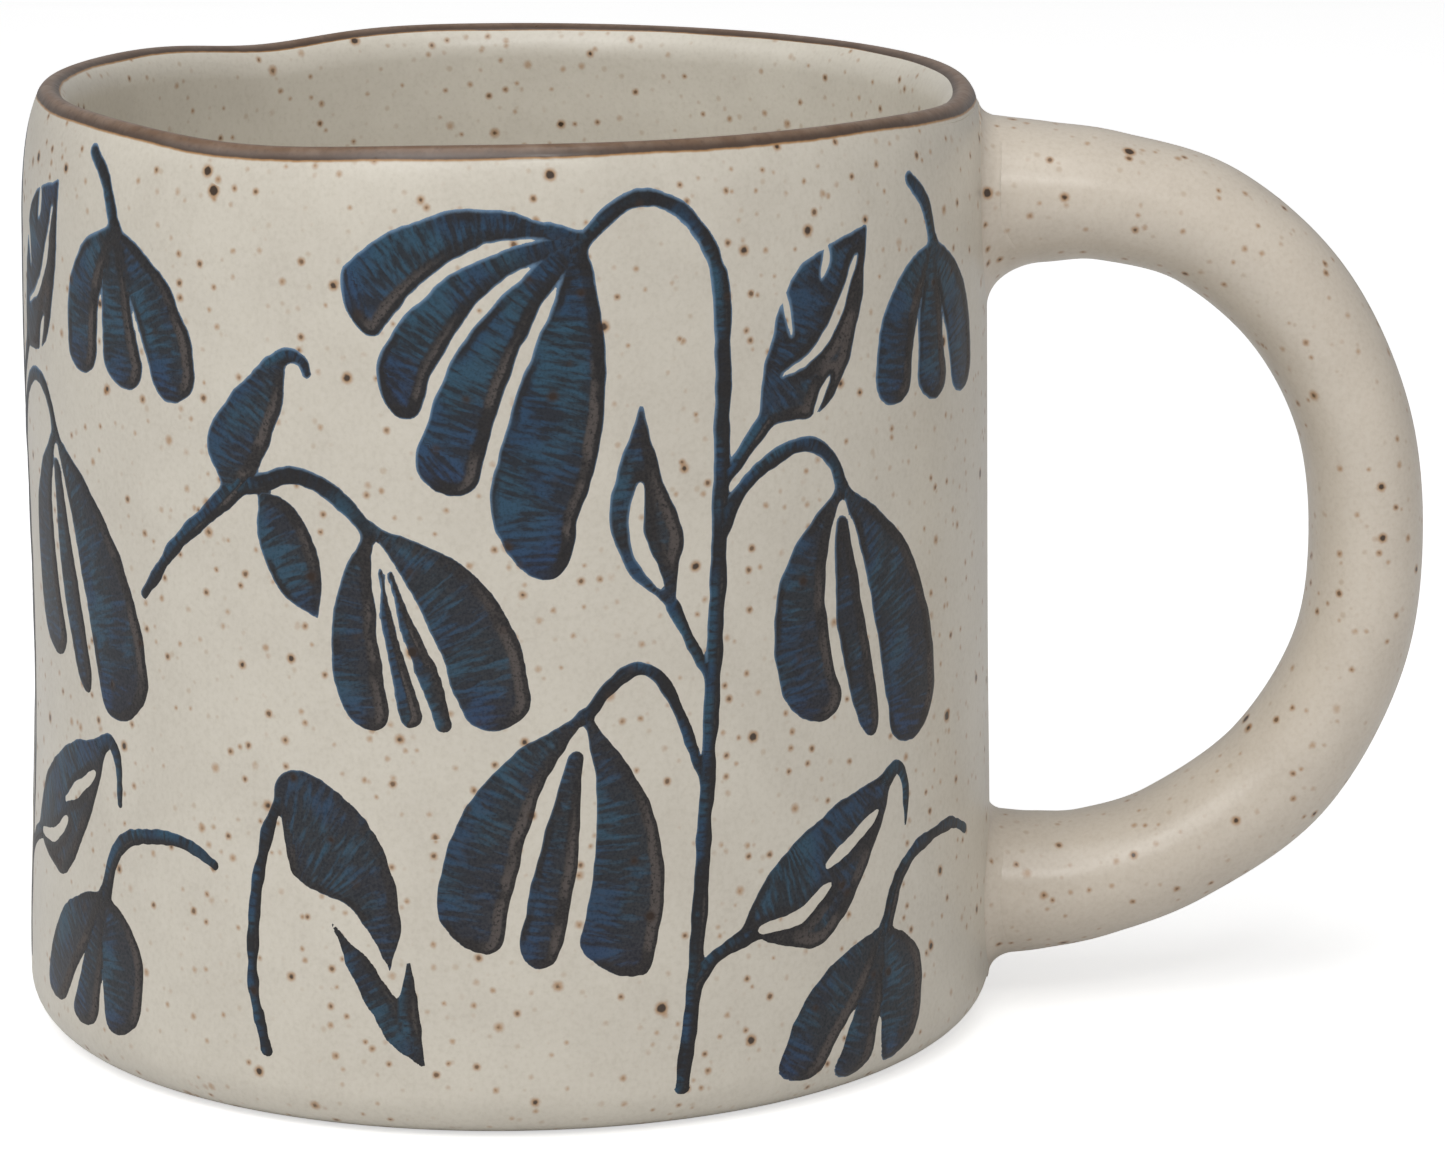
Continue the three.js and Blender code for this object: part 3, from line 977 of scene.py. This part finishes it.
def depth_inside(outline, points):
    """How far each point lies inside a closed outline; negative outside."""
    ends = np.roll(outline, -1, 0)
    step = ends - outline
    away = points[:, None] - outline
    t = np.clip((away * step).sum(2) / np.maximum((step * step).sum(1), 1e-12), 0, 1)
    gap = np.linalg.norm(away - t[..., None] * step, axis=2).min(1)
    spans = (outline[:, 1] > points[:, None, 1]) != (ends[:, 1] > points[:, None, 1])
    climb = np.where(np.abs(step[:, 1]) < 1e-12, 1e-12, step[:, 1])
    crossing_s = outline[:, 0] + step[:, 0] * (points[:, None, 1] - outline[:, 1]) / climb
    inside = (spans & (points[:, None, 0] < crossing_s)).sum(1) % 2 == 1
    return np.where(inside, gap, -gap)


PAINTED_SHADE_SIDE = np.array([0.88, -0.47])  # every mark is painted darkest towards here, as painted shade
JOIN = 0.35  # how softly two painted marks run together
MARK_REACH, MARK_MARGIN = 1.6, 1.2  # how far a mark may reach from its axis, in half widths and more
MARK_SHIFT = 17  # keeps the dashes of one group of marks unlike those of the next


def area_of(mark):
    """The lowest and highest corner of the area that a mark can colour."""
    reach = mark["half"] * MARK_REACH
    return mark["axis"].min(0) - reach - MARK_MARGIN, mark["axis"].max(0) + reach + MARK_MARGIN


def paint_field(marks, seed):
    """Samples the marks on a grid over the unrolled wall, as (s, z, dictionary of fields)."""
    low = np.min([area_of(mark)[0] for mark in marks], 0)
    high = np.max([area_of(mark)[1] for mark in marks], 0)
    s = np.arange(low[0], high[0] + PIGMENT_GRID, PIGMENT_GRID)
    z = np.arange(low[1], high[1] + PIGMENT_GRID, PIGMENT_GRID)
    names = ("edge", "along", "across", "side", "reach", "mark", "burn")
    fields = {name: np.zeros((len(z), len(s))) for name in names}
    fields["edge"] -= 9
    for number, mark in enumerate(marks):
        mark_low, mark_high = area_of(mark)
        columns = slice(*np.searchsorted(s, (mark_low[0], mark_high[0])))
        rows = slice(*np.searchsorted(z, (mark_low[1], mark_high[1])))
        grid_s, grid_z = np.meshgrid(s[columns], z[rows])
        places = np.stack([grid_s.ravel(), grid_z.ravel()], 1)
        gap, along, offset, length, step = nearest_on(mark["axis"], places)
        if "outline" in mark:
            depth = depth_inside(mark["outline"], places)
        else:
            first, last = mark["radii"]
            radius = first + (last - first) * along / length
            if mark.get("bare"):
                radius = radius * (0.3 + 0.7 * np.sin(math.pi * along / length) ** 0.7)
            depth = radius - gap
        shape = grid_s.shape
        depth = depth.reshape(shape)
        now = fields["edge"][rows, columns]
        if mark.get("bare"):
            fields["edge"][rows, columns] = np.minimum(now, -depth)
            continue
        wins = depth > now
        overlap = np.clip(JOIN - np.abs(depth - now), 0, None)
        fields["edge"][rows, columns] = np.maximum(depth, now) + overlap**2 / (4 * JOIN)
        turned = np.sign(step[:, 0] * offset[:, 1] - step[:, 1] * offset[:, 0])
        values = {
            "along": along,
            "across": turned * gap,
            # how far towards its painted shade a place lies
            "side": (offset @ PAINTED_SHADE_SIDE) / mark["half"],
            "reach": np.clip(along / length, 0, 1) if "outline" in mark else 0.3 + 0 * along,
            "mark": 0 * along + number + MARK_SHIFT * seed,
            "burn": 0 * along + mark["burn"],
        }
        for name, given in values.items():
            fields[name][rows, columns] = np.where(wins, given.reshape(shape), fields[name][rows, columns])
    grid_s, grid_z = np.meshgrid(s, z)
    fields["edge"] += 0.10 * ripple(grid_s, grid_z, 4.0, seed) + 0.04 * ripple(grid_s, grid_z, 1.2, seed + 50)
    return s, z, fields


def trimmed_faces(level_field):
    """Faces over the part of a grid above 0, cut along the zero line.

    Returns the corners as (row, column) pairs that may lie between grid points, and the faces."""
    above = level_field > 0
    numbers, corners, faces = {}, [], []

    def corner_at(row, column):
        key = (row, column)
        if key not in numbers:
            numbers[key] = len(corners)
            corners.append(key)
        return numbers[key]

    def crossing(one, two):
        one, two = sorted((one, two))
        a, b = level_field[one], level_field[two]
        share = min(max(a / (a - b), 0.02), 0.98)
        return corner_at(one[0] + (two[0] - one[0]) * share, one[1] + (two[1] - one[1]) * share)

    touched = above[:-1, :-1] | above[1:, :-1] | above[:-1, 1:] | above[1:, 1:]
    for row, column in zip(*np.nonzero(touched)):
        cell = [(row, column), (row, column + 1), (row + 1, column + 1), (row + 1, column)]
        face = []
        for here, there in zip(cell, cell[1:] + cell[:1]):
            if above[here]:
                face.append(corner_at(*here))
            if above[here] != above[there]:
                face.append(crossing(here, there))
        faces.append(face)
    return np.array(corners, float), faces


def at_corners(field, corners):
    """A grid field read at places that lie on grid points or on the lines between them."""
    low = np.floor(corners).astype(int)
    high = np.ceil(corners).astype(int)
    share = (corners - low).max(1)
    return field[low[:, 0], low[:, 1]] * (1 - share) + field[high[:, 0], high[:, 1]] * share


def closed_sheet(front, back, faces):
    """A thin closed body from a sheet and its back, as (points, faces)."""
    count = len(front)
    made = [tuple(face) for face in faces]
    made += [tuple(i + count for i in reversed(face)) for face in faces]
    edges = {(a, b) for face in faces for a, b in zip(face, face[1:] + face[:1])}
    for a, b in edges:
        if (b, a) not in edges:
            made.append((b, a, a + count, b + count))
    return np.vstack([front, back]), made


def make_pigment(name, marks, place, seed, paint):
    """One painted group, laid on the wall at the place of its repeat of the pattern."""
    s, z, fields = paint_field(marks, seed)
    corners, faces = trimmed_faces(fields["edge"] + PIGMENT_MARGIN)
    values = {label: at_corners(field, corners) for label, field in fields.items()}
    shift, lean, lift = place
    flat_z = z[0] + corners[:, 0] * PIGMENT_GRID
    flat_s = s[0] + corners[:, 1] * PIGMENT_GRID + shift + lean * (flat_z - CUP_TOP / 2)
    flat_z = flat_z + lift
    edge = values["edge"]
    relief = PIGMENT_RELIEF * smooth(edge, -PIGMENT_MARGIN, 0.5) - PIGMENT_SINK
    relief = relief + 0.05 * bump(edge, 0.9, 0.35) * smooth(values["side"], 0.3, 0.7)
    front = wall_point(flat_s, flat_z, relief)
    back = wall_point(flat_s, flat_z, -PIGMENT_DEPTH)
    points, made = closed_sheet(front, back, faces)
    doubled = {label: np.concatenate([value, value]) for label, value in values.items()}
    return make_object(name, points, made, [paint], doubled)


# The pattern is drawn three times round the wall, as (shift, lean, lift), and the handle's strip is bare
REPEATS = ((0.0, 0.0, 0.0), (-80.8, -0.078, 2.5), (-162.4, 0.015, 1.0))
SEEDS_PER_REPEAT = 10
GROUPS = (stem_spray, bud_sprig, folded_leaf, upper_bell, lower_bell)


# ---- Building the mug ----


def keep(piece, slot, *replaced):
    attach(piece, "root")
    if replaced:
        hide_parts(*replaced)


body_glaze = glaze_paint("speckled_glaze")
handle_glaze = glaze_paint("handle_glaze", HANDLE_TINT)
# the inside's glaze is a paler copy of the cup's: painted light
inside_glaze_painted_light = glaze_paint("inside_glaze_painted_light", INSIDE_PAINTED_LIGHT)
ink = ink_paint()

keep(make_cup(body_glaze, clay_paint(), inside_glaze_painted_light), "speckled_glaze", "mug_body")
keep(make_band(band_paint()), "iron_oxide", "rim_band")
keep(make_handle(handle_glaze), "handle_glaze", "handle")
keep(make_collar("upper_collar", False, 1.3, 3.5, 1.4, handle_glaze), "slip", "upper_slip_joint")
keep(make_collar("lower_collar", True, 1.3, 2.0, 1.3, handle_glaze), "slip", "lower_slip_joint")
for repeat, place in enumerate(REPEATS):
    for order, group in enumerate(GROUPS):
        seed = 1 + order + SEEDS_PER_REPEAT * repeat
        keep(make_pigment(f"{group.__name__}_{repeat + 1}", group(), place, seed, ink), "speckled_glaze")


# ---- Floor, lights and camera ----


def make_floor():
    angle = circle(FLOOR_SIDES)
    rings = [np.stack([r * np.cos(angle), r * np.sin(angle), 0 * angle], 1) for r in FLOOR_RADII]
    points = np.vstack([*rings, [(0, 0, 0)]])
    middle = len(points) - 1
    faces = [face[::-1] for face in ring_faces(len(rings), FLOOR_SIDES)]
    faces += [(middle, j, (j + 1) % FLOOR_SIDES) for j in range(FLOOR_SIDES)]
    floor = make_object("floor", points, faces, [floor_paint()])
    floor.location.z = -0.02 * MM


def make_light(name, place, size, power, colour=(1, 1, 1)):
    """A soft square light, in millimetres, that faces the middle of the mug."""
    lamp = bpy.data.lights.new(name, "AREA")
    lamp.shape = "SQUARE"
    lamp.size = size * MM
    lamp.energy = power
    lamp.color = colour
    light = add_object(name, lamp)
    light.location = Vector(place) * MM
    aim = Vector((0, 0, CUP_TOP / 2)) * MM - light.location
    light.rotation_euler = aim.to_track_quat("-Z", "Y").to_euler()


def make_world(strength):
    world = bpy.data.worlds.new("studio")
    world.use_nodes = True
    background = world.node_tree.nodes["Background"]
    background.inputs["Color"].default_value = (1, 1, 1, 1)
    background.inputs["Strength"].default_value = strength
    bpy.context.scene.world = world


CAMERA_PLACE = (19.72, -500.0, 152.7)
CAMERA_PITCH = -12.68  # degrees from level
CAMERA_LENS = 137.8
CAMERA_SENSOR = 36.0


def make_camera():
    """A long lens in front of the mug, looking slightly down and not turned sideways."""
    camera = add_object("camera", bpy.data.cameras.new("camera"))
    camera.location = Vector(CAMERA_PLACE) * MM
    camera.rotation_euler = (math.radians(90 + CAMERA_PITCH), 0, 0)
    camera.data.lens = CAMERA_LENS
    camera.data.sensor_width = CAMERA_SENSOR
    camera.data.clip_start = 0.01
    bpy.context.scene.camera = camera


make_floor()
make_light("key", (-380, -820, 760), 600, 2.6)
make_light("side", (-700, -150, 620), 400, 0.65)
make_light("fill", (750, -450, 140), 700, 0.47, (1, 0.88, 0.80))
make_light("glint", (130, -700, 620), 140, 0.8)
make_light("top", (-180, -400, 950), 800, 4.1)
make_world(0.33)
make_camera()
bpy.context.scene.view_settings.view_transform = "Standard"
